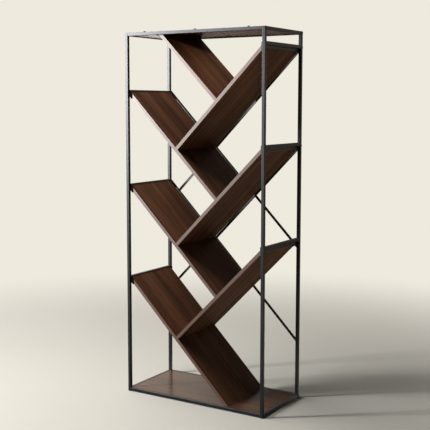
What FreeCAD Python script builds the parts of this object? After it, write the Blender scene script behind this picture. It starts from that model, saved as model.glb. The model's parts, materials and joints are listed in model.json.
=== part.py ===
import FreeCAD, Part
import os
from collections import defaultdict
from math import cos, pi, sin, sqrt

Vector = FreeCAD.Vector

# Frame, in millimetres
HEIGHT = 1727.0          # floor to the top face of the frame
WIDTH = 751.0            # across the outer side faces of the posts
DEPTH = 358.0            # front face of the front posts to back face of the back posts
TUBE = 15.0              # square tube of the posts and of all the rails
TUBE_WALL = 1.2
TUBE_CORNER = 1.5        # outer corner radius of the tube
GLIDE = 3.0              # thickness of the plastic glide under each post
GLIDE_PLUG = 4.0         # how far a glide's plug reaches into its post
END_PLATE = 2.0          # steel plate that closes the top of each post
PLUG_PLAY = 0.1          # play on each side of a plug in a tube

# Panels
PANEL = 15.0             # thickness of the slanting panels
FLAT_PANEL = 12.0        # thickness of the top and bottom panels
PANEL_PLAY = 0.5         # play between the panels' edges and the frame

# Zigzag of panels, all at 45 degrees: "falling" goes down to the right, "rising" goes up to the right
FALLING_PANELS = 4
RISING_PANELS = 3
PITCH = 445.5            # height from one panel to the next one of the same slope
FALLING_TOP = 1541.0     # height of the highest falling panel's upper face, at the middle of the width
RISING_BOTTOM = 1276.0   # height of the highest rising panel's lower face, at the middle of the width
RAIL_RISE = 6.0          # how far a side rail stands above the panel end that it carries

# Steel plate fittings
PLATE = 3.0              # thickness of tabs, brackets and flanges
BRACKET_LEG = 18.0       # leg of a bracket along a panel
BRACKET_WIDE = 22.0      # width of a bracket's leg, from front to back
CHEEK_LONG = 10.0        # how far the cheek of a shelf bracket reaches in from its rail
CHEEK_DROP = 3.0         # how far below the rail's top the cheek starts
TOP_FLAT_SCREW = 11.0    # screws of the brackets at the head of the highest panel, from the corner
TOP_SLOPE_SCREW = 13.5
BASE_LEG = 26.0          # legs of the acute brackets at the foot of the lowest panel
BASE_FLAT_SCREW = 21.0   # screws of those brackets, from the corner
BASE_SLOPE_SCREW = 18.0
BASE_BRACKET_OUT = 80.0  # distance of the base brackets from the middle of the depth
TAB_LONG = 30.0          # tab under the top or bottom panel, along its rail
TAB_REACH = 20.0         # how far a tab reaches in from its rail
TAB_SPACING = 280.0      # distance between tabs along a rail

# Back braces, four equal flat bars that cross in pairs
BRACE_WIDE = 12.0
BRACE_THICK = 3.0
BRACE_RISE = 746.0       # height from the hole at a brace's low end to the hole at its high end
BRACE_PITCH = 450.5      # height from one brace to the next one of the same slope
FALLING_BRACE = 1088.0   # height of the higher falling brace, at the middle of the width
RISING_BRACE = 1281.0    # height of the higher rising brace, at the middle of the width

# Fasteners
BOLT_SHANK = 3.0         # radius of the frame bolts
BOLT_HEAD = 5.0
BOLT_HEAD_TALL = 3.0
BOLT_GRIP = 14.0         # length of a frame bolt inside its threaded plug
PLUG_LONG = 16.0         # threaded plug in the end of a rail
BRACE_SHANK = 2.5
BRACE_HEAD = 4.5
BRACE_HEAD_TALL = 2.8
TOP_HEAD = 6.0           # radius of the heads that stand on the top panel
TOP_HEAD_TALL = 6.0
RIVET_NUT = 3.5          # outer radius of a rivet nut
RIVET_NUT_LONG = 9.0
RIVET_NUT_BULGE = 4.6    # radius of the collar that a rivet nut forms behind the tube wall
RIVET_NUT_BULGE_LONG = 2.0
CROSS_NUT = 4.6          # corner radius of the hexagon nuts where two braces cross
CROSS_NUT_TALL = 4.0
SPACER = 6.0             # radius of the washers that hold the rising braces off the posts
SCREW_SHANK = 2.0        # radius of the bracket screws
SCREW_HEAD = 3.8
SCREW_HEAD_TALL = 2.4
SCREW_GRIP = 9.0         # length of a bracket screw inside a panel
HOLE_PLAY = 0.2          # clearance round a shank
HEAD_RIM = 0.4           # height of a head's upright rim, as a share of the head's height
HEAD_CROWN = 0.6         # radius of a head's flat crown, as a share of the head's radius
SOCKET_SHARE = 0.5       # size of a drive socket, as a share of the head's radius
SOCKET_DEEP = 1.3
CUT_PAST = 1.0           # how far a cutting shape runs past the face that it cuts

# Knock-down fittings where the end of one panel stands square on another
CAM = 7.5                # radius of a cam disc
CAM_DEEP = 12.0
CAM_SETBACK = 24.0       # from the panel's end to the middle of its cam disc
CAM_PIN = 3.0            # radius of a cam bolt
CAM_PIN_GRIP = 10.0      # length of a cam bolt inside the supporting panel
CAM_BORE = 4.0           # bore for the cam bolt in the panel's end
CAM_OUT = 110.0          # distance of the cam fittings from the middle of the depth
DOWEL = 4.0
DOWEL_LONG = 29.0
DOWEL_GRIP = 10.0        # length of a dowel inside the supporting panel
DOWEL_OUT = 60.0         # distance of the dowels from the middle of the depth

# Planes that follow from the sizes above. The origin is under the middle of the whole object's box.
SLANT = PANEL * sqrt(2)                       # height of a slanting panel's upright cut
X_OUT = WIDTH / 2
X_IN = X_OUT - TUBE
X_POST = X_OUT - TUBE / 2
Y_FRONT = -(DEPTH + 2 * BRACE_THICK + BRACE_HEAD_TALL) / 2
Y_BACK = Y_FRONT + DEPTH
Y_IN_FRONT = Y_FRONT + TUBE
Y_IN_BACK = Y_BACK - TUBE
Y_MIDDLE = Y_FRONT + DEPTH / 2
PANEL_FRONT = Y_IN_FRONT + PANEL_PLAY
PANEL_BACK = Y_IN_BACK - PANEL_PLAY
BASE_TOP = GLIDE + TUBE                       # upper face of the bottom panel
CEILING = HEIGHT - FLAT_PANEL                 # lower face of the top panel

LEVELS = ("upper", "middle", "lower")
ENDS = {"front": -1, "back": 1}
SIDES = {"left": -1, "right": 1}

nodes = {}
groups = defaultdict(list)
holes = defaultdict(list)


def box(x0, x1, y0, y1, z0, z1):
    return Part.makeBox(x1 - x0, y1 - y0, z1 - z0, Vector(x0, y0, z0))


def prism(outline, y0, y1):
    """A flat outline of (x, z) points, drawn out from y0 to y1."""
    points = [Vector(x, y0, z) for x, z in outline]
    face = Part.Face(Part.makePolygon(points + points[:1]))
    return face.extrude(Vector(0, y1 - y0, 0))


def rod(start, along, radius, length):
    return Part.makeCylinder(radius, length, start, along)


def rounded_bar(low, high, axis, radius):
    """A box from low to high whose edges along one axis are rounded."""
    bar = Part.makeBox(*(high - low), low)
    long_edges = [e for e in bar.Edges if abs((e.lastVertex().Point - e.firstVertex().Point)[axis]) > 1e-6]
    return bar.makeFillet(radius, long_edges)


def tube(low, high, axis):
    """A square or oblong tube, open at both ends of its axis (0 for X, 1 for Y, 2 for Z)."""
    wall = Vector(*[0 if k == axis else TUBE_WALL for k in range(3)])
    outer = rounded_bar(low, high, axis, TUBE_CORNER)
    return outer.cut(rounded_bar(low + wall, high - wall, axis, TUBE_CORNER - TUBE_WALL))


def hexagon(radius, z0, z1):
    corners = [Vector(radius * cos(k * pi / 3), radius * sin(k * pi / 3), z0) for k in range(6)]
    return Part.Face(Part.makePolygon(corners + corners[:1])).extrude(Vector(0, 0, z1 - z0))


def placed(shape, at, out):
    """A shape built along +Z, moved so that its origin is at a point and its +Z axis points out."""
    shape.Placement = FreeCAD.Placement(at, FreeCAD.Rotation(Vector(0, 0, 1), out))
    return shape


def fastener(at, out, shank, length, head, tall):
    """A button-headed screw or bolt: the head's seat is at a point, and the shank goes in from there."""
    rim = tall * HEAD_RIM
    crown = head * HEAD_CROWN
    shoulder = Vector(crown + (head - crown) / sqrt(2), 0, rim + (tall - rim) / sqrt(2))
    outline = [
        Part.LineSegment(Vector(0, 0, tall), Vector(0, 0, -length)),
        Part.LineSegment(Vector(0, 0, -length), Vector(shank, 0, -length)),
        Part.LineSegment(Vector(shank, 0, -length), Vector(shank, 0, 0)),
        Part.LineSegment(Vector(shank, 0, 0), Vector(head, 0, 0)),
        Part.LineSegment(Vector(head, 0, 0), Vector(head, 0, rim)),
        Part.Arc(Vector(head, 0, rim), shoulder, Vector(crown, 0, tall)),
        Part.LineSegment(Vector(crown, 0, tall), Vector(0, 0, tall)),
    ]
    wire = Part.Wire([line.toShape() for line in outline])
    body = Part.Face(wire).revolve(Vector(0, 0, 0), Vector(0, 0, 1), 360)
    body = body.cut(hexagon(head * SOCKET_SHARE, tall - SOCKET_DEEP, tall + CUT_PAST))
    return placed(body, at, out)


def falling_line(index):
    """x + z on the upper face of a falling panel."""
    return FALLING_TOP - PITCH * index


def rising_line(index):
    """z - x on the lower face of a rising panel."""
    return RISING_BOTTOM - PITCH * index


def meet(falling, rising):
    """The point where a line of constant x + z meets a line of constant z - x."""
    return (falling - rising) / 2, (falling + rising) / 2


# Posts, with the plates that close their tops and the glides under them
for side, sx in SIDES.items():
    for end, y0 in (("front", Y_FRONT), ("back", Y_IN_BACK)):
        x0 = min(sx * X_IN, sx * X_OUT)
        name = f"post_{end}_{side}"
        low = Vector(x0, y0, GLIDE)
        nodes[name] = tube(low, Vector(x0 + TUBE, y0 + TUBE, HEIGHT - END_PLATE), 2)
        plate_low = Vector(x0, y0, HEIGHT - END_PLATE)
        plate_high = Vector(x0 + TUBE, y0 + TUBE, HEIGHT)
        groups["post_top_plates"].append(rounded_bar(plate_low, plate_high, 2, TUBE_CORNER))
        inset = TUBE_WALL + PLUG_PLAY
        pad = rounded_bar(Vector(x0, y0, 0), Vector(x0 + TUBE, y0 + TUBE, GLIDE), 2, TUBE_CORNER)
        plug = box(x0 + inset, x0 + TUBE - inset, y0 + inset, y0 + TUBE - inset, GLIDE, GLIDE + GLIDE_PLUG)
        groups["foot_glides"].append(pad.fuse(plug))

# Top and bottom rails: the front and back ones are bolted between the posts, the side ones are welded
for level, z0 in (("bottom", GLIDE), ("top", HEIGHT - TUBE)):
    z_bolt = z0 + TUBE / 2
    for end, y0 in (("front", Y_FRONT), ("back", Y_IN_BACK)):
        rail = f"{level}_rail_{end}"
        nodes[rail] = tube(Vector(-X_IN, y0, z0), Vector(X_IN, y0 + TUBE, z0 + TUBE), 0)
        for side, sx in SIDES.items():
            out = Vector(sx, 0, 0)
            seat = Vector(sx * X_OUT, y0 + TUBE / 2, z_bolt)
            bolt_long = TUBE + BOLT_GRIP
            groups["frame_bolts"].append(
                fastener(seat, out, BOLT_SHANK, bolt_long, BOLT_HEAD, BOLT_HEAD_TALL))
            holes[f"post_{end}_{side}"].append(rod(seat, -out, BOLT_SHANK + HOLE_PLAY, TUBE))
            inset = TUBE_WALL + PLUG_PLAY
            x_plug = sorted((sx * X_IN, sx * (X_IN - PLUG_LONG)))
            plug = box(*x_plug, y0 + inset, y0 + TUBE - inset, z0 + inset, z0 + TUBE - inset)
            groups["rail_end_plugs"].append(plug.cut(rod(seat, -out, BOLT_SHANK, bolt_long)))
    for side, sx in SIDES.items():
        x0 = min(sx * X_IN, sx * X_OUT)
        low = Vector(x0, Y_IN_FRONT, z0)
        nodes[f"{level}_rail_{side}"] = tube(low, Vector(x0 + TUBE, Y_IN_BACK, z0 + TUBE), 1)

# Top and bottom panels, which lie on tabs welded inside the front and back rails
panel_x = X_IN - PANEL_PLAY
nodes["top_panel"] = box(-panel_x, panel_x, PANEL_FRONT, PANEL_BACK, CEILING, HEIGHT)
nodes["bottom_panel"] = box(-panel_x, panel_x, PANEL_FRONT, PANEL_BACK, BASE_TOP - FLAT_PANEL, BASE_TOP)
for end, sy in ENDS.items():
    y_rail = Y_IN_FRONT if end == "front" else Y_IN_BACK
    y_tab = sorted((y_rail, y_rail - sy * TAB_REACH))
    y_screw = y_rail - sy * TAB_REACH / 2
    for x in (-TAB_SPACING, 0, TAB_SPACING):
        x_tab = (x - TAB_LONG / 2, x + TAB_LONG / 2)
        top_seat = Vector(x, y_screw, HEIGHT)
        down = Vector(0, 0, -1)
        shank = FLAT_PANEL + PLATE
        groups["top_panel_screws"].append(
            fastener(top_seat, -down, BRACE_SHANK, shank, TOP_HEAD, TOP_HEAD_TALL))
        holes["top_panel"].append(rod(top_seat, down, BRACE_SHANK + HOLE_PLAY, FLAT_PANEL))
        top_tab = box(*x_tab, *y_tab, CEILING - PLATE, CEILING)
        groups["top_panel_tabs"].append(top_tab.cut(rod(top_seat, down, BRACE_SHANK, shank)))
        base_seat = Vector(x, y_screw, GLIDE)
        groups["bottom_panel_screws"].append(
            fastener(base_seat, down, SCREW_SHANK, PLATE + SCREW_GRIP, SCREW_HEAD, SCREW_HEAD_TALL))
        holes["bottom_panel"].append(rod(base_seat, -down, SCREW_SHANK, PLATE + SCREW_GRIP))
        base_tab = box(*x_tab, *y_tab, GLIDE, GLIDE + PLATE)
        base_hole = rod(base_seat, -down, SCREW_SHANK + HOLE_PLAY, PLATE)
        groups["bottom_panel_tabs"].append(base_tab.cut(base_hole))

# Zigzag panels, numbered from the top: odd ones fall to the right, even ones rise to the right
for index in range(FALLING_PANELS):
    upper = falling_line(index)
    lower = upper - SLANT
    if index == 0:
        head = [(lower - CEILING, CEILING), (upper - CEILING, CEILING)]
    else:
        head = [(-X_IN, lower + X_IN), (-X_IN, upper + X_IN)]
    if index == FALLING_PANELS - 1:
        foot = [(upper - BASE_TOP, BASE_TOP), (lower - BASE_TOP, BASE_TOP)]
    else:
        support = rising_line(index) + SLANT
        foot = [meet(upper, support), meet(lower, support)]
    nodes[f"zigzag_panel_{2 * index + 1}"] = prism(head + foot, PANEL_FRONT, PANEL_BACK)
for index in range(RISING_PANELS):
    lower = rising_line(index)
    upper = lower + SLANT
    support = falling_line(index + 1)
    outline = [(X_IN, lower + X_IN), (X_IN, upper + X_IN), meet(support, upper), meet(support, lower)]
    nodes[f"zigzag_panel_{2 * index + 2}"] = prism(outline, PANEL_FRONT, PANEL_BACK)


def join_panels(butted, support, point, along, face):
    """Cam fittings and dowels where one panel's end stands on another panel.

    point is the middle of the joint, along leads from it into the butted panel, and face points
    from the middle of that panel's thickness to the face where the cam discs are let in.
    """
    for sy in ENDS.values():
        foot = Vector(point[0], Y_MIDDLE + sy * CAM_OUT, point[1])
        pin_start = foot - along * CAM_PIN_GRIP
        bore = rod(foot, along, CAM_BORE, CAM_SETBACK)
        mouth = foot + along * CAM_SETBACK + face * (PANEL / 2)
        pocket = rod(mouth, -face, CAM, CAM_DEEP)
        slot = placed(hexagon(CAM * SOCKET_SHARE, -SOCKET_DEEP, CUT_PAST), mouth, face)
        groups["cam_bolts"].append(rod(pin_start, along, CAM_PIN, CAM_PIN_GRIP + CAM_SETBACK))
        groups["cam_discs"].append(pocket.cut(bore).cut(slot))
        holes[butted] += [bore, pocket]
        holes[support].append(rod(pin_start, along, CAM_PIN, CAM_PIN_GRIP))
        dowel_foot = Vector(point[0], Y_MIDDLE + sy * DOWEL_OUT, point[1])
        dowel = rod(dowel_foot - along * DOWEL_GRIP, along, DOWEL, DOWEL_LONG)
        groups["joint_dowels"].append(dowel)
        holes[butted].append(dowel)
        holes[support].append(dowel)


# All the cam discs are in the faces that look to the left
UP_LEFT = Vector(-1, 0, 1) / sqrt(2)
UP_RIGHT = Vector(1, 0, 1) / sqrt(2)
for index in range(RISING_PANELS):
    falling = f"zigzag_panel_{2 * index + 1}"
    rising = f"zigzag_panel_{2 * index + 2}"
    next_falling = f"zigzag_panel_{2 * index + 3}"
    on_rising = meet(falling_line(index) - SLANT / 2, rising_line(index) + SLANT)
    join_panels(falling, rising, on_rising, UP_LEFT, -UP_RIGHT)
    on_falling = meet(falling_line(index + 1), rising_line(index) + SLANT / 2)
    join_panels(rising, next_falling, on_falling, UP_RIGHT, UP_LEFT)


def bracket_screw(panel, leg_point, out):
    """A screw through a bracket's leg into a panel; leg_point is on the panel's face, out leads away."""
    seat = leg_point + out * PLATE
    length = PLATE + SCREW_GRIP
    groups["bracket_screws"].append(
        fastener(seat, out, SCREW_SHANK, length, SCREW_HEAD, SCREW_HEAD_TALL))
    holes[panel].append(rod(seat, -out, SCREW_SHANK, length))
    return rod(seat, -out, SCREW_SHANK + HOLE_PLAY, PLATE)


def rail_flange(sx, corner_z, rail_top):
    """The strip welded under a side rail, which covers a panel's end down to its lower corner."""
    z_top = rail_top - TUBE
    z_low = corner_z - PLATE * sqrt(2)
    outline = [(X_IN, z_top), (X_IN + PLATE, z_top), (X_IN + PLATE, z_low + PLATE), (X_IN, z_low)]
    return prism([(sx * x, z) for x, z in outline], PANEL_FRONT, PANEL_BACK)


def shelf_bracket(sx, sy, corner_z, rail_top, panel):
    """A folded plate that carries the front or back corner of a panel's end at a side rail.

    Its leg slopes under the panel, and its cheek, welded to the post, stands before the panel's
    edge. corner_z is the height of the panel's lower corner.
    """
    drop = PLATE * sqrt(2)
    lip = PLATE / sqrt(2)
    reach = BRACKET_LEG / sqrt(2)
    x_tip = X_IN - reach
    z_tip = corner_z - reach
    x_cheek = X_IN - CHEEK_LONG
    cheek_top = rail_top - CHEEK_DROP
    leg = [(X_IN, corner_z), (x_tip, z_tip), (x_tip + lip, z_tip - lip), (X_IN, corner_z - drop)]
    cheek = [(X_IN, cheek_top), (x_cheek, cheek_top), (x_cheek, corner_z - CHEEK_LONG - drop),
             (X_IN, corner_z - drop)]
    y_post, y_edge = (Y_IN_FRONT, PANEL_FRONT) if sy < 0 else (Y_IN_BACK, PANEL_BACK)
    y_leg = sorted((y_post, y_edge - sy * BRACKET_WIDE))
    y_cheek = sorted((y_post, y_post + sy * PLATE))
    body = prism([(sx * x, z) for x, z in leg], *y_leg)
    body = body.fuse(prism([(sx * x, z) for x, z in cheek], *y_cheek))
    middle = Vector(sx * (X_IN - reach / 2), sum(y_leg) / 2, corner_z - reach / 2)
    out = Vector(sx, 0, -1) / sqrt(2)
    return body.cut(bracket_screw(panel, middle, out)).removeSplitter()


# Side rails welded between the posts, each with a flange and two brackets for one panel's end
for side, sx in SIDES.items():
    for index, level in enumerate(LEVELS):
        if side == "right":
            corner_z = rising_line(index) + X_IN
            panel = f"zigzag_panel_{2 * index + 2}"
        else:
            corner_z = falling_line(index + 1) - SLANT + X_IN
            panel = f"zigzag_panel_{2 * index + 3}"
        rail_top = corner_z + SLANT + RAIL_RISE
        x0 = min(sx * X_IN, sx * X_OUT)
        low = Vector(x0, Y_IN_FRONT, rail_top - TUBE)
        nodes[f"side_rail_{side}_{level}"] = tube(low, Vector(x0 + TUBE, Y_IN_BACK, rail_top), 1)
        groups["rail_flanges"].append(rail_flange(sx, corner_z, rail_top))
        for sy in ENDS.values():
            bracket = shelf_bracket(sx, sy, corner_z, rail_top, panel)
            groups[f"shelf_brackets_{side}_{level}"].append(bracket)

# Brackets at the head of the highest panel and at the foot of the lowest one, behind their lower faces
top_lower = falling_line(0) - SLANT
base_lower = falling_line(FALLING_PANELS - 1) - SLANT
x_head = top_lower - CEILING
x_foot = base_lower - BASE_TOP
reach = BRACKET_LEG / sqrt(2)
lip = PLATE / sqrt(2)
head_outline = [(x_head, CEILING), (x_head - BRACKET_LEG, CEILING), (x_head - BRACKET_LEG, CEILING - PLATE),
                (x_head + PLATE - PLATE * sqrt(2), CEILING - PLATE),
                (x_head + reach - lip, CEILING - reach - lip), (x_head + reach, CEILING - reach)]
base_reach = BASE_LEG / sqrt(2)
foot_outline = [(x_foot, BASE_TOP), (x_foot - BASE_LEG, BASE_TOP), (x_foot - BASE_LEG, BASE_TOP + PLATE),
                (x_foot - PLATE - PLATE * sqrt(2), BASE_TOP + PLATE),
                (x_foot - base_reach - lip, BASE_TOP + base_reach - lip),
                (x_foot - base_reach, BASE_TOP + base_reach)]
LEFT_DOWN = -UP_RIGHT
for end, sy in ENDS.items():
    y_edge = PANEL_FRONT if end == "front" else PANEL_BACK
    y_leg = sorted((y_edge, y_edge - sy * BRACKET_WIDE))
    y_screw = sum(y_leg) / 2
    bracket = prism(head_outline, *y_leg)
    flat_point = Vector(x_head - TOP_FLAT_SCREW, y_screw, CEILING)
    slope_point = Vector(x_head, y_screw, CEILING) - UP_LEFT * TOP_SLOPE_SCREW
    bracket = bracket.cut(bracket_screw("top_panel", flat_point, Vector(0, 0, -1)))
    groups["top_brackets"].append(bracket.cut(bracket_screw("zigzag_panel_1", slope_point, LEFT_DOWN)))
    y_base = Y_MIDDLE + sy * BASE_BRACKET_OUT
    bracket = prism(foot_outline, y_base - BRACKET_WIDE / 2, y_base + BRACKET_WIDE / 2)
    flat_point = Vector(x_foot - BASE_FLAT_SCREW, y_base, BASE_TOP)
    slope_point = Vector(x_foot, y_base, BASE_TOP) + UP_LEFT * BASE_SLOPE_SCREW
    bracket = bracket.cut(bracket_screw("bottom_panel", flat_point, Vector(0, 0, 1)))
    groups["base_brackets"].append(bracket.cut(bracket_screw("zigzag_panel_7", slope_point, LEFT_DOWN)))


def brace(start, finish, y0):
    """A flat bar with round ends, whose end holes are at two (x, z) points."""
    a = Vector(start[0], y0, start[1])
    b = Vector(finish[0], y0, finish[1])
    along = (b - a).normalize() * (BRACE_WIDE / 2)
    across = Vector(along.z, 0, -along.x)
    outline = [
        Part.LineSegment(a + across, b + across),
        Part.Arc(b + across, b + along, b - across),
        Part.LineSegment(b - across, a - across),
        Part.Arc(a - across, a - along, a + across),
    ]
    face = Part.Face(Part.Wire([line.toShape() for line in outline]))
    return face.extrude(Vector(0, BRACE_THICK, 0))


BACKWARD = Vector(0, 1, 0)


def brace_bolt(x, z, y_seat, y_tip):
    """A bolt from behind, with its head's seat at y_seat."""
    seat = Vector(x, y_seat, z)
    length = y_seat - y_tip
    groups["brace_bolts"].append(
        fastener(seat, BACKWARD, BRACE_SHANK, length, BRACE_HEAD, BRACE_HEAD_TALL))


# Back braces: falling ones lie on the back posts, rising ones lie over them on spacer washers
y_falling = Y_BACK
y_rising = Y_BACK + BRACE_THICK
half_rise = BRACE_RISE / 2
for index, level in enumerate(("upper", "lower")):
    falling = FALLING_BRACE - BRACE_PITCH * index
    rising = RISING_BRACE - BRACE_PITCH * index
    falling_name = f"back_brace_falling_{level}"
    rising_name = f"back_brace_rising_{level}"
    pair = ((falling_name, falling, -half_rise, y_falling), (rising_name, rising, half_rise, y_rising))
    for name, middle, lift, y0 in pair:
        nodes[name] = brace((-X_POST, middle - lift), (X_POST, middle + lift), y0)
        for side, sx in SIDES.items():
            wall_face = Vector(sx * X_POST, Y_BACK, middle + sx * lift)
            y_seat = y0 + BRACE_THICK
            brace_bolt(wall_face.x, wall_face.z, y_seat, Y_BACK - RIVET_NUT_LONG)
            holes[name].append(rod(wall_face, BACKWARD, BRACE_SHANK + HOLE_PLAY, y_seat - Y_BACK))
            nut = rod(wall_face, -BACKWARD, RIVET_NUT, RIVET_NUT_LONG)
            behind_wall = wall_face - BACKWARD * TUBE_WALL
            nut = nut.fuse(rod(behind_wall, -BACKWARD, RIVET_NUT_BULGE, RIVET_NUT_BULGE_LONG))
            bore = rod(wall_face, -BACKWARD, BRACE_SHANK, RIVET_NUT_LONG)
            groups["rivet_nuts"].append(nut.cut(bore))
            holes[f"post_back_{side}"].append(rod(wall_face, -BACKWARD, RIVET_NUT, TUBE_WALL))
            if name == rising_name:
                hole = rod(wall_face, BACKWARD, BRACE_SHANK + HOLE_PLAY, BRACE_THICK)
                groups["brace_spacers"].append(rod(wall_face, BACKWARD, SPACER, BRACE_THICK).cut(hole))
    x = (falling - rising) / 2 * X_POST / half_rise
    z = (falling + rising) / 2
    y_seat = y_rising + BRACE_THICK
    brace_bolt(x, z, y_seat, Y_BACK - CROSS_NUT_TALL)
    for name in (falling_name, rising_name):
        holes[name].append(rod(Vector(x, Y_BACK, z), BACKWARD, BRACE_SHANK + HOLE_PLAY, y_seat - Y_BACK))
    thread = Part.makeCylinder(BRACE_SHANK, CROSS_NUT_TALL)
    nut = hexagon(CROSS_NUT, 0, CROSS_NUT_TALL).cut(thread)
    groups["brace_nuts"].append(placed(nut, Vector(x, Y_BACK, z), -BACKWARD))

# Cut the holes, then write one file for each node
for name, cutters in holes.items():
    nodes[name] = nodes[name].cut(Part.makeCompound(cutters))
for name, solids in groups.items():
    nodes[name] = Part.makeCompound(solids)

os.makedirs("parts", exist_ok=True)
for name, shape in nodes.items():
    shape.exportStep(f"parts/{name}.step")
print(len(nodes), "nodes,", sum(len(shape.Solids) for shape in nodes.values()), "solids")
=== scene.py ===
import json
from math import cos, radians, sin

import bpy
from mathutils import Matrix, Vector


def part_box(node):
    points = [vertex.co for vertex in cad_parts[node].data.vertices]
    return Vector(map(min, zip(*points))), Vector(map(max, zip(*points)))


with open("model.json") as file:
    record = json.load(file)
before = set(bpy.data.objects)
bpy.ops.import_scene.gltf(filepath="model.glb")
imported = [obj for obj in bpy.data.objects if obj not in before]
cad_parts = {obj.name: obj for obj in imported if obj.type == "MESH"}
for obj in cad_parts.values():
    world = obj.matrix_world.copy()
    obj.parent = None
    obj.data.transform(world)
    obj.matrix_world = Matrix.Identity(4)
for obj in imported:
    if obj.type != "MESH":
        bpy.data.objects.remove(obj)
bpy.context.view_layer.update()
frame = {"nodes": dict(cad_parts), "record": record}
nodes = frame["nodes"]

# The frame's own planes, in metres
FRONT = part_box("post_front_left")[0].y
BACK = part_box("post_back_left")[1].y
MIDDLE = Vector((0, (FRONT + BACK) / 2, 0))
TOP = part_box("top_panel")[1].z

# Camera: the photograph's viewpoint, found from the frame's edges
VIEWPOINT = Vector((1.3067, -2.0734, 0.8048))    # from MIDDLE, in units of the frame's height
YAW = 0.5599             # turns, in radians
PITCH = -0.1073
ROLL = 0.0009
LENS = 75.28             # millimetres
SENSOR = 36
SHIFT = 0.030            # as a share of the picture

# Panels
ZIGZAG_PANELS = 7
PANEL_LEAN = radians(45)
PANEL_ROUND = 0.0007     # rounding of the panels' edges, in metres
PLATE_ROUND = 0.0004     # rounding of the brackets' and flanges' edges
ROUND_STEPS = 2
SHARP_EDGE = radians(40)     # edges that turn more than this are rounded
FACES_FRONT = 0.9        # a face whose normal has this much Y is a front or back edge

# Walnut faces: colours, and noise with so many ripples per metre along the grain and across it
WALNUT_DARK = (0.034, 0.0130, 0.0058)
WALNUT_MIDDLE = (0.103, 0.044, 0.0218)
WALNUT_LIGHT = (0.215, 0.103, 0.055)
WANDER = {"ripples": (1.6, 4.0), "detail": 2}
BANDS = {"ripples": (0.8, 17.0), "detail": 3, "roughness": 0.55}
STREAKS = {"ripples": (1.5, 110.0), "detail": 5, "roughness": 0.62}
FIBRES = {"ripples": (10.0, 560.0), "detail": 3, "roughness": 0.6}
PORES = {"ripples": (26.0, 1150.0), "detail": 1}
PATTERN_STEP = (3.7, 1.9)    # how far the pattern moves on from one panel to the next, in metres
GRAIN_DRIFT = 0.02       # how far the grain wanders sideways
BAND_SHARE = 0.34        # shares of the three noises in the tone
STREAK_SHARE = 0.42
FIBRE_SHARE = 0.24
PORE_LEVELS = (0.60, 0.74)   # noise levels between which a pore opens
PORE_TINT = 0.5          # how far a pore turns the colour dark
FACE_WEAR = 0.0012       # reach of the wear from a panel's edges, in metres
FACE_WEAR_TINT = 0.3
FIBRE_RELIEF = 0.6       # height of the fibres, as a share of the pores' depth
GRAIN_DEEP = 0.00012

# Finishes of the faces: roughness and how uneven it is, relief, gloss, and the tones of the three colours;
# the polished tones are set darker as painted shade
SATIN = {"rough": 0.44, "uneven": 0.14, "relief": 0.25, "specular": 0.05, "stops": (0.38, 0.50, 0.64)}
# The polished top and bottom panels take later tone stops than the satin ones, so the same walnut comes
# out darker: painted shade
POLISH_AND_SHADE = {"rough": 0.17, "uneven": 0.04, "relief": 0.05, "specular": 0.22, "stops": (0.35, 0.54, 0.72)}
HIGH_POLISH_AND_SHADE = {**POLISH_AND_SHADE, "rough": 0.11}

# Banding on the panels' edges
EDGE_BAND = (0.094, 0.028, 0.009)
EDGE_DARK = (0.060, 0.018, 0.006)
EDGE_GREY = (0.045, 0.025, 0.018)
EDGE_STREAKS = {"ripples": (2.5, 420.0), "detail": 5, "roughness": 0.65}
EDGE_FLECKS = {"ripples": (38.0, 900.0), "detail": 2}
EDGE_STREAK_LEVELS = (0.36, 0.66)
EDGE_FLECK_LEVELS = (0.58, 0.72)
EDGE_FLECK_TINT = 0.35
EDGE_STRIP = 0.0026      # half the width of the greyer strip along an edge
EDGE_STRIP_FADE = 0.0026     # width of the strip's soft border
EDGE_STRIP_TINT = 0.8
EDGE_ROUGH = 0.39        # roughness, and what streaks and strip add to it
EDGE_STREAK_ROUGH = 0.05
EDGE_STRIP_ROUGH = 0.06
EDGE_IOR = 1.58
EDGE_SPECULAR = 1.0
EDGE_SPECULAR_TINT = (1.0, 0.92, 0.88, 1)
EDGE_RELIEF = 0.06
EDGE_DEEP = 0.00003

# Painted steel
BLACK = (0.0060, 0.0060, 0.0068)
BLACK_RUBBED = (0.085, 0.082, 0.078)
OXIDE = (0.010, 0.010, 0.011)
OXIDE_RUBBED = (0.12, 0.115, 0.11)
FRAME_ROUGH = 0.378
BRACKET_ROUGH = 0.62
OXIDE_ROUGH = 0.32
PEEL = {"scale": 1500.0, "detail": 2}
PEEL_RELIEF = 0.04
PEEL_DEEP = 0.00001
CLOUD = {"scale": 9.0, "detail": 4, "roughness": 0.6}
CLOUD_LEVELS = (0.35, 0.75)
CLOUD_GAIN = 1.9         # the palest paint is the colour times this
CLOUD_LIFT = 0.002       # plus this
CLOUD_ROUGH = 0.03
DUST = {"scale": 260.0, "detail": 3, "roughness": 0.7}
DUST_ROUGH = 0.02
RUBBED_LEVELS = (0.42, 0.66)
RUBBED_TINT = 0.5
PAINT_WEAR = 0.0006      # reach of the wear from the edges, in metres
PAINT_SPECULAR = 0.6

# Zinc plate
ZINC = (0.60, 0.61, 0.62)
ZINC_TINT = (0.52, 0.50, 0.40)
MOTTLE = {"scale": 380.0, "detail": 4, "roughness": 0.65}
MOTTLE_LEVELS = (0.35, 0.7)
MOTTLE_ROUGH = 0.22
MOTTLE_RELIEF = 0.08
MOTTLE_DEEP = 0.00006
ZINC_ROUGH = 0.18

# Plastic of the glides
GLIDE = (0.013, 0.013, 0.013)
GLIDE_SCUFFED = (0.040, 0.039, 0.038)
GLIDE_GRAIN = {"scale": 1900.0, "detail": 3}
GLIDE_RELIEF = 0.15
GLIDE_DEEP = 0.0001
SCUFF = {"scale": 70.0, "detail": 4, "roughness": 0.7}
SCUFF_LEVELS = (0.5, 0.8)
SCUFF_ROUGH = 0.2
GLIDE_ROUGH = 0.45

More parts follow.
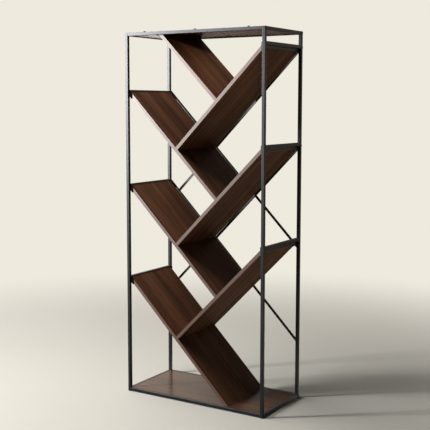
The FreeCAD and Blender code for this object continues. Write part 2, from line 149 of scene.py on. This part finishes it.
# Beech of the dowels
BEECH_STOPS = ((0.3, (0.40, 0.26, 0.13)), (0.7, (0.52, 0.36, 0.20)))
BEECH_FLECKS = {"scale": 300.0, "detail": 4, "roughness": 0.65, "distortion": 1.2}
BEECH_ROUGH = 0.6
BEECH_RELIEF = 0.2
BEECH_DEEP = 0.0001

# Worn corners: how well the rounded and the plain normal agree on a flat face and on a corner
WEAR_FLAT = 0.97
WEAR_SHARP = 0.80
WEAR_SAMPLES = 6

# Floor
FLOOR_COLOUR = (0.54, 0.51, 0.45)
FLOOR_HAZE = (0.51, 0.48, 0.42)
HAZE = {"scale": 1.6, "detail": 3}
FLOOR_ROUGH = 0.75
FLOOR_SPECULAR = 0.2
FLOOR_BOUNCE = 0.06      # light that the floor throws back on top of what falls on it
FLOOR_BOUNCE_COLOUR = (1.0, 0.90, 0.80, 1)
FLOOR_SIZE = 60
FLOOR_NEAR = 0.9         # the floor fades into the backdrop from here
FLOOR_FAR = 3.4          # to here, in metres from the middle

# Backdrop, and the soft even light round the object
BACKDROP = (0.86, 0.82, 0.73)
ROOM_LIGHT = (1.0, 0.97, 0.92, 1)
ROOM_LEVEL = 0.015

# Shades that only mirrors see: in front, and behind from the left (-1) to the right (1)
FRONT_SHADE = (0.125, 0.105, 0.085)
DEEP_SHADE = (0.044, 0.033, 0.026)
BROWN_SHADE = (0.100, 0.062, 0.045)
SOFT_SHADE = (0.320, 0.225, 0.160)
HALF_SHADE = (0.410, 0.358, 0.300)
PALE_SHADE = (0.620, 0.530, 0.450)
BACKDROP_SHADES = ((-0.52, BACKDROP), (-0.45, DEEP_SHADE), (-0.20, DEEP_SHADE), (0.05, PALE_SHADE),
                   (0.30, PALE_SHADE), (0.42, HALF_SHADE), (0.50, HALF_SHADE), (0.56, DEEP_SHADE))
FLOOR_SHADES = ((-0.58, BACKDROP), (-0.55, BROWN_SHADE), (-0.45, BROWN_SHADE), (-0.30, SOFT_SHADE),
                (0.15, SOFT_SHADE), (0.28, DEEP_SHADE), (0.48, DEEP_SHADE), (0.62, HALF_SHADE))
BESIDE = 0.0             # a direction's Y where the shades in front start to give way
BEHIND = 0.5             # and where only the shades behind are left

# Lamps, in metres, watts and degrees; aim is a height on the upright middle line, as a share of TOP
LAMPS = {
    "window": {"place": (-3.45, -3.16, 2.0), "aim": 0.55, "size": (0.5, 1.9), "watts": 345,
               "colour": (0.95, 0.98, 1.0)},
    "upper_left": {"place": (-1.1, -0.5, 3.4), "aim": 0.55, "size": (2.4, 1.8), "watts": 110},
    "top_bay": {"place": (1.5, -2.0, 2.1), "aim": 0.9, "size": (0.25, 0.25), "watts": 0.28,
                "colour": (1.0, 0.90, 0.80), "spread": 10},
}


class Graph:
    """A node tree, with short calls to add and join nodes."""

    def __init__(self, tree):
        self.tree = tree

    def add(self, kind, settings=None, **inputs):
        """A new node. An underscore in the name of an input stands for a space."""
        node = self.tree.nodes.new(kind)
        for key, value in (settings or {}).items():
            setattr(node, key, value)
        for key, value in inputs.items():
            self.put(node.inputs[key.replace("_", " ")], value)
        return node

    def put(self, socket, value):
        """Joins a socket to another node's output, or sets it to a plain value."""
        if isinstance(value, bpy.types.NodeSocket):
            self.tree.links.new(value, socket)
        else:
            socket.default_value = value

    def add_in_order(self, kind, settings, values):
        """A new node with values put into its first inputs."""
        node = self.add(kind, settings)
        for socket, value in zip(node.inputs, values):
            self.put(socket, value)
        return node

    def math(self, operation, *values):
        return self.add_in_order("ShaderNodeMath", {"operation": operation}, values).outputs[0]

    def vector_math(self, operation, *values):
        """The outputs of a vector operation, which go by the names Vector and Value."""
        return self.add_in_order("ShaderNodeVectorMath", {"operation": operation}, values).outputs

    def weighted(self, base, *parts):
        """A base plus some values, each times its weight."""
        total = base
        for value, weight in parts:
            total = self.math("MULTIPLY_ADD", value, weight, total)
        return total

    def noise(self, vector, scale, detail, roughness=0.5, distortion=0.0):
        node = self.add("ShaderNodeTexNoise", Vector=vector, Scale=scale, Detail=detail,
                        Roughness=roughness, Distortion=distortion)
        return node.outputs["Fac"]

    def grain(self, vector, ripples, detail, roughness=0.5):
        """Noise with so many ripples per metre along X and across it."""
        along, across = ripples
        drawn_out = self.vector_math("MULTIPLY", vector, (along, across, across))["Vector"]
        return self.noise(drawn_out, 1.0, detail, roughness)

    def between(self, value, start, end):
        """0 up to the start, 1 from the end on, and smooth in between; the end may be the lower one."""
        node = self.add("ShaderNodeMapRange", {"interpolation_type": "SMOOTHSTEP"}, Value=value,
                        From_Min=start, From_Max=end)
        return node.outputs["Result"]

    def mix(self, factor, a, b):
        colours = [c if isinstance(c, bpy.types.NodeSocket) else (*c, 1) for c in (a, b)]
        node = self.add("ShaderNodeMix", {"data_type": "RGBA"}, Factor=factor, A=colours[0], B=colours[1])
        return node.outputs["Result"]

    def tint(self, colour, other, where, share):
        """A colour turned towards another by a share, where a value is 1."""
        return self.mix(self.math("MULTIPLY", where, share), colour, other)

    def ramp(self, factor, stops):
        """A colour that goes through stops, each a place from 0 to 1 and its colour."""
        node = self.add("ShaderNodeValToRGB", Fac=factor)
        elements = node.color_ramp.elements
        while len(elements) < len(stops):
            elements.new(0.5)
        for element, (place, colour) in zip(elements, stops):
            element.position = place
            element.color = (*colour, 1)
        return node.outputs["Color"]

    def choose(self, factor, first, second, output):
        """Ends the tree in one shader where the factor is 0 and in another where it is 1."""
        shaders = (factor, first.outputs[0], second.outputs[0])
        chosen = self.add_in_order("ShaderNodeMixShader", {}, shaders)
        self.put(self.tree.nodes[output].inputs["Surface"], chosen.outputs[0])

    def places(self):
        """Places on the piece, in the metres and axes of the whole object."""
        return self.add("ShaderNodeTexCoord").outputs["Object"]

    def edge_wear(self, radius):
        """1 on sharp corners, 0 on flat faces."""
        rounded = self.add("ShaderNodeBevel", {"samples": WEAR_SAMPLES}, Radius=radius).outputs["Normal"]
        plain = self.add("ShaderNodeNewGeometry").outputs["Normal"]
        agreement = self.vector_math("DOT_PRODUCT", rounded, plain)["Value"]
        return self.between(agreement, WEAR_FLAT, WEAR_SHARP)


class MaterialGraph(Graph):
    """A new material's node tree, with calls that set its shader."""

    def __init__(self, name):
        self.material = bpy.data.materials.new(name)
        self.material.use_nodes = True
        super().__init__(self.material.node_tree)
        self.shader = self.tree.nodes["Principled BSDF"]

    def set(self, **inputs):
        for key, value in inputs.items():
            self.put(self.shader.inputs[key.replace("_", " ")], value)

    def bump(self, height, strength, distance):
        node = self.add("ShaderNodeBump", Height=height, Strength=strength, Distance=distance)
        self.set(Normal=node.outputs["Normal"])


def level_grain(g, turn, middle, number):
    """Places on a panel turned level, so that X runs along the grain, and moved on to vary the pattern.

    turn leans the grain with the panel, middle is the height of the panel's mid-plane once it is turned
    level, and number is the panel's place in the order of panels.
    """
    along, across = PATTERN_STEP
    level = g.add("ShaderNodeMapping", Vector=g.places(), Rotation=(0, turn, 0),
                  Location=(along * number, across * number, -middle))
    return level.outputs["Vector"]


def walnut(name, lie, finish):
    """Dark walnut laminate with straight grain along a panel, satin or polished."""
    g = MaterialGraph(name)
    grain = level_grain(g, *lie)
    wander = g.grain(grain, **WANDER)
    flow = g.vector_math("MULTIPLY_ADD", wander, (0, GRAIN_DRIFT, GRAIN_DRIFT), grain)["Vector"]
    bands = g.grain(flow, **BANDS)
    streaks = g.grain(flow, **STREAKS)
    fibres = g.grain(flow, **FIBRES)
    pores = g.between(g.grain(flow, **PORES), *PORE_LEVELS)

    tone = g.weighted(0.0, (bands, BAND_SHARE), (streaks, STREAK_SHARE), (fibres, FIBRE_SHARE))
    # The tone stops of the polished finishes darken the colour as painted shade
    colour = g.ramp(tone, list(zip(finish["stops"], (WALNUT_DARK, WALNUT_MIDDLE, WALNUT_LIGHT))))
    colour = g.tint(colour, WALNUT_DARK, pores, PORE_TINT)
    colour = g.tint(colour, EDGE_BAND, g.edge_wear(FACE_WEAR), FACE_WEAR_TINT)

    rough = g.weighted(finish["rough"], (fibres, finish["uneven"]), (pores, finish["uneven"]))
    g.set(Base_Color=colour, Roughness=rough, Specular_IOR_Level=finish["specular"])
    g.bump(g.weighted(0.0, (fibres, FIBRE_RELIEF), (pores, -1.0)), finish["relief"], GRAIN_DEEP)
    return g.material


def edge_band(name, lie):
    """Redder, glossier banding on a panel's front and back edges, with a greyer strip along its middle."""
    g = MaterialGraph(name)
    grain = level_grain(g, *lie)
    streaks = g.grain(grain, **EDGE_STREAKS)
    flecks = g.grain(grain, **EDGE_FLECKS)
    off_middle = g.math("ABSOLUTE", g.add("ShaderNodeSeparateXYZ", Vector=grain).outputs["Z"])
    half_fade = EDGE_STRIP_FADE / 2
    strip = g.between(off_middle, EDGE_STRIP + half_fade, EDGE_STRIP - half_fade)

    colour = g.mix(g.between(streaks, *EDGE_STREAK_LEVELS), EDGE_BAND, EDGE_DARK)
    colour = g.tint(colour, EDGE_GREY, strip, EDGE_STRIP_TINT)
    colour = g.tint(colour, EDGE_DARK, g.between(flecks, *EDGE_FLECK_LEVELS), EDGE_FLECK_TINT)
    rough = g.weighted(EDGE_ROUGH, (streaks, EDGE_STREAK_ROUGH), (strip, EDGE_STRIP_ROUGH))
    g.set(Base_Color=colour, Roughness=rough, IOR=EDGE_IOR)
    g.set(Specular_IOR_Level=EDGE_SPECULAR, Specular_Tint=EDGE_SPECULAR_TINT)
    g.bump(flecks, EDGE_RELIEF, EDGE_DEEP)
    return g.material


def painted_steel(name, colour, roughness, rubbed_colour):
    """Black coat on steel: a fine orange peel, a little dust and slightly rubbed corners."""
    g = MaterialGraph(name)
    at = g.places()
    cloud = g.noise(at, **CLOUD)
    dust = g.noise(at, **DUST)
    palest = [part * CLOUD_GAIN + CLOUD_LIFT for part in colour]
    shade = g.mix(g.between(cloud, *CLOUD_LEVELS), colour, palest)
    rubbed = g.math("MULTIPLY", g.edge_wear(PAINT_WEAR), g.between(cloud, *RUBBED_LEVELS))
    shade = g.tint(shade, rubbed_colour, rubbed, RUBBED_TINT)
    least = roughness - (DUST_ROUGH + CLOUD_ROUGH) / 2
    rough = g.weighted(least, (dust, DUST_ROUGH), (cloud, CLOUD_ROUGH))
    g.set(Base_Color=shade, Roughness=rough, Specular_IOR_Level=PAINT_SPECULAR)
    g.bump(g.noise(at, **PEEL), PEEL_RELIEF, PEEL_DEEP)
    return g.material


def zinc_plate(name):
    """Bright zinc on small fittings, with a mottled passivation tint."""
    g = MaterialGraph(name)
    mottle = g.noise(g.places(), **MOTTLE)
    tint = g.mix(g.between(mottle, *MOTTLE_LEVELS), ZINC, ZINC_TINT)
    g.set(Base_Color=tint, Metallic=1.0, Roughness=g.weighted(ZINC_ROUGH, (mottle, MOTTLE_ROUGH)))
    g.bump(mottle, MOTTLE_RELIEF, MOTTLE_DEEP)
    return g.material


def moulded_plastic(name):
    """Black plastic with a fine moulded grain, paler and duller where it is scuffed."""
    g = MaterialGraph(name)
    at = g.places()
    scuff = g.noise(at, **SCUFF)
    shade = g.mix(g.between(scuff, *SCUFF_LEVELS), GLIDE, GLIDE_SCUFFED)
    g.set(Base_Color=shade, Roughness=g.weighted(GLIDE_ROUGH, (scuff, SCUFF_ROUGH)))
    g.bump(g.noise(at, **GLIDE_GRAIN), GLIDE_RELIEF, GLIDE_DEEP)
    return g.material


def beech(name):
    """Plain beech with small flecks."""
    g = MaterialGraph(name)
    flecks = g.noise(g.places(), **BEECH_FLECKS)
    g.set(Base_Color=g.ramp(flecks, BEECH_STOPS), Roughness=BEECH_ROUGH)
    g.bump(flecks, BEECH_RELIEF, BEECH_DEEP)
    return g.material


def dress(node, material, rounding=0.0, edge_material=None):
    """Gives a CAD node its material, its front and back edges another, and softens its sharp edges."""
    piece = nodes[node]
    piece.data.materials.clear()
    piece.data.materials.append(material)
    if edge_material:
        piece.data.materials.append(edge_material)
        for face in piece.data.polygons:
            face.material_index = int(abs(face.normal.y) > FACES_FRONT)
    if rounding:
        soft = piece.modifiers.new("soft_edges", "BEVEL")
        soft.width = rounding
        soft.segments = ROUND_STEPS
        soft.limit_method = "ANGLE"
        soft.angle_limit = SHARP_EDGE


def dress_frame_and_fittings():
    """Gives every piece but the panels the material of its slot in the record."""
    bracket_black = painted_steel("matt_black_coat", BLACK, BRACKET_ROUGH, BLACK_RUBBED)
    materials = {
        "black_frame": painted_steel("black_powder_coat", BLACK, FRAME_ROUGH, BLACK_RUBBED),
        "black_hardware": painted_steel("black_oxide", OXIDE, OXIDE_ROUGH, OXIDE_RUBBED),
        "zinc": zinc_plate("zinc_plate"),
        "beech": beech("beech_dowel"),
        "glide_plastic": moulded_plastic("black_glide"),
    }
    for part in frame["record"]["subparts"]:
        node = part["node"]
        slot = part["material_slot"]
        if slot == "walnut":
            continue
        material = bracket_black if "brackets" in node else materials[slot]
        dress(node, material, PLATE_ROUND if "flange" in node or "bracket" in node else 0.0)


def mid_plane(node, turn):
    """Height of a panel's mid-plane once the panel is turned level."""
    up = Vector((-sin(turn), 0, cos(turn)))
    heights = [up.dot(v.co) for v in nodes[node].data.vertices]
    return (min(heights) + max(heights)) / 2


def dress_panels():
    """Gives each panel walnut and banding of its own, with the grain along the panel."""
    panels = {"top_panel": (0, HIGH_POLISH_AND_SHADE), "bottom_panel": (0, POLISH_AND_SHADE)}
    for number in range(1, ZIGZAG_PANELS + 1):
        turn = -PANEL_LEAN if number % 2 else PANEL_LEAN
        panels[f"zigzag_panel_{number}"] = (turn, SATIN)
    for number, (node, (turn, finish)) in enumerate(panels.items(), start=1):
        lie = (turn, mid_plane(node, turn), number)
        dress(node, walnut(f"walnut_{node}", lie, finish), PANEL_ROUND, edge_band(f"edge_{node}", lie))


def surroundings(g, direction, shades, seen):
    """Colour of the backdrop: plain where it is seen, and shaded by direction in mirrors."""
    way = g.add("ShaderNodeSeparateXYZ", Vector=direction)
    # From left to right is -1 to 1 in the shades, and 0 to 1 on the ramp
    across = g.math("MULTIPLY_ADD", way.outputs["X"], 0.5, 0.5)
    rear = g.ramp(across, [(place * 0.5 + 0.5, shade) for place, shade in shades])
    mirrored = g.mix(g.between(way.outputs["Y"], BESIDE, BEHIND), FRONT_SHADE, rear)
    return g.mix(seen, mirrored, BACKDROP)


def make_floor():
    """A pale floor that keeps the object's shadow near by and fades into the backdrop further out."""
    bpy.ops.mesh.primitive_plane_add(size=FLOOR_SIZE)
    floor = bpy.context.object
    floor.name = "studio_floor"
    g = MaterialGraph("studio_floor")
    at = g.places()
    path = g.add("ShaderNodeLightPath").outputs
    colour = g.mix(g.noise(at, **HAZE), FLOOR_COLOUR, FLOOR_HAZE)
    g.set(Base_Color=colour, Roughness=FLOOR_ROUGH, Specular_IOR_Level=FLOOR_SPECULAR)
    g.set(Emission_Color=FLOOR_BOUNCE_COLOUR)
    g.set(Emission_Strength=g.math("MULTIPLY", path["Is Diffuse Ray"], FLOOR_BOUNCE))
    far = g.between(g.vector_math("LENGTH", at)["Value"], FLOOR_NEAR, FLOOR_FAR)
    way = g.vector_math("NORMALIZE", at)["Vector"]
    glow = g.add("ShaderNodeEmission", Color=surroundings(g, way, FLOOR_SHADES, path["Is Camera Ray"]))
    faded = g.math("MULTIPLY", far, path["Is Camera Ray"])
    g.choose(g.math("MAXIMUM", faded, path["Is Glossy Ray"]), g.shader, glow, "Material Output")
    g.material.cycles.emission_sampling = "NONE"
    floor.data.materials.append(g.material)


def make_world():
    """A pale backdrop that is seen and mirrored, over a soft even light."""
    world = bpy.data.worlds.new("studio")
    bpy.context.scene.world = world
    world.use_nodes = True
    world.cycles.sampling_method = "NONE"
    g = Graph(world.node_tree)
    path = g.add("ShaderNodeLightPath").outputs
    shown = g.math("MAXIMUM", path["Is Camera Ray"], path["Is Glossy Ray"])
    shown = g.math("MAXIMUM", shown, path["Is Transmission Ray"])
    even_light = g.add("ShaderNodeBackground", Color=ROOM_LIGHT, Strength=ROOM_LEVEL)
    way = g.add("ShaderNodeTexCoord").outputs["Generated"]
    shade = surroundings(g, way, BACKDROP_SHADES, path["Is Camera Ray"])
    backdrop = g.add("ShaderNodeBackground", Color=shade)
    g.choose(shown, even_light, backdrop, "World Output")


def area_light(name, place, aim, size, watts, colour=(1, 1, 1), spread=180):
    """A rectangular lamp that faces a point on the upright middle line."""
    data = bpy.data.lights.new(name, "AREA")
    data.shape = "RECTANGLE"
    data.size, data.size_y = size
    data.energy = watts
    data.color = colour
    data.spread = radians(spread)
    lamp = bpy.data.objects.new(name, data)
    bpy.context.collection.objects.link(lamp)
    lamp.location = place
    lamp.rotation_mode = "QUATERNION"
    lamp.rotation_quaternion = (Vector((0, 0, TOP * aim)) - Vector(place)).to_track_quat("-Z", "Y")


def make_camera():
    """The camera at its viewpoint, turned by yaw, then pitch, then roll."""
    data = bpy.data.cameras.new("camera")
    data.lens = LENS
    data.sensor_width = SENSOR
    data.shift_y = -SHIFT
    camera = bpy.data.objects.new("camera", data)
    bpy.context.collection.objects.link(camera)
    forward = Vector((-sin(YAW) * cos(PITCH), cos(YAW) * cos(PITCH), sin(PITCH)))
    level = Vector((cos(YAW), sin(YAW), 0))
    upright = level.cross(forward)
    right = level * cos(ROLL) + upright * sin(ROLL)
    up = upright * cos(ROLL) - level * sin(ROLL)
    turned = Matrix((right, up, -forward)).transposed()
    camera.matrix_world = Matrix.Translation(VIEWPOINT * TOP + MIDDLE) @ turned.to_4x4()
    bpy.context.scene.camera = camera


bpy.context.scene.view_settings.view_transform = "Standard"
dress_frame_and_fittings()
dress_panels()
make_floor()
make_world()
for lamp_name, lamp_settings in LAMPS.items():
    area_light(lamp_name, **lamp_settings)
make_camera()
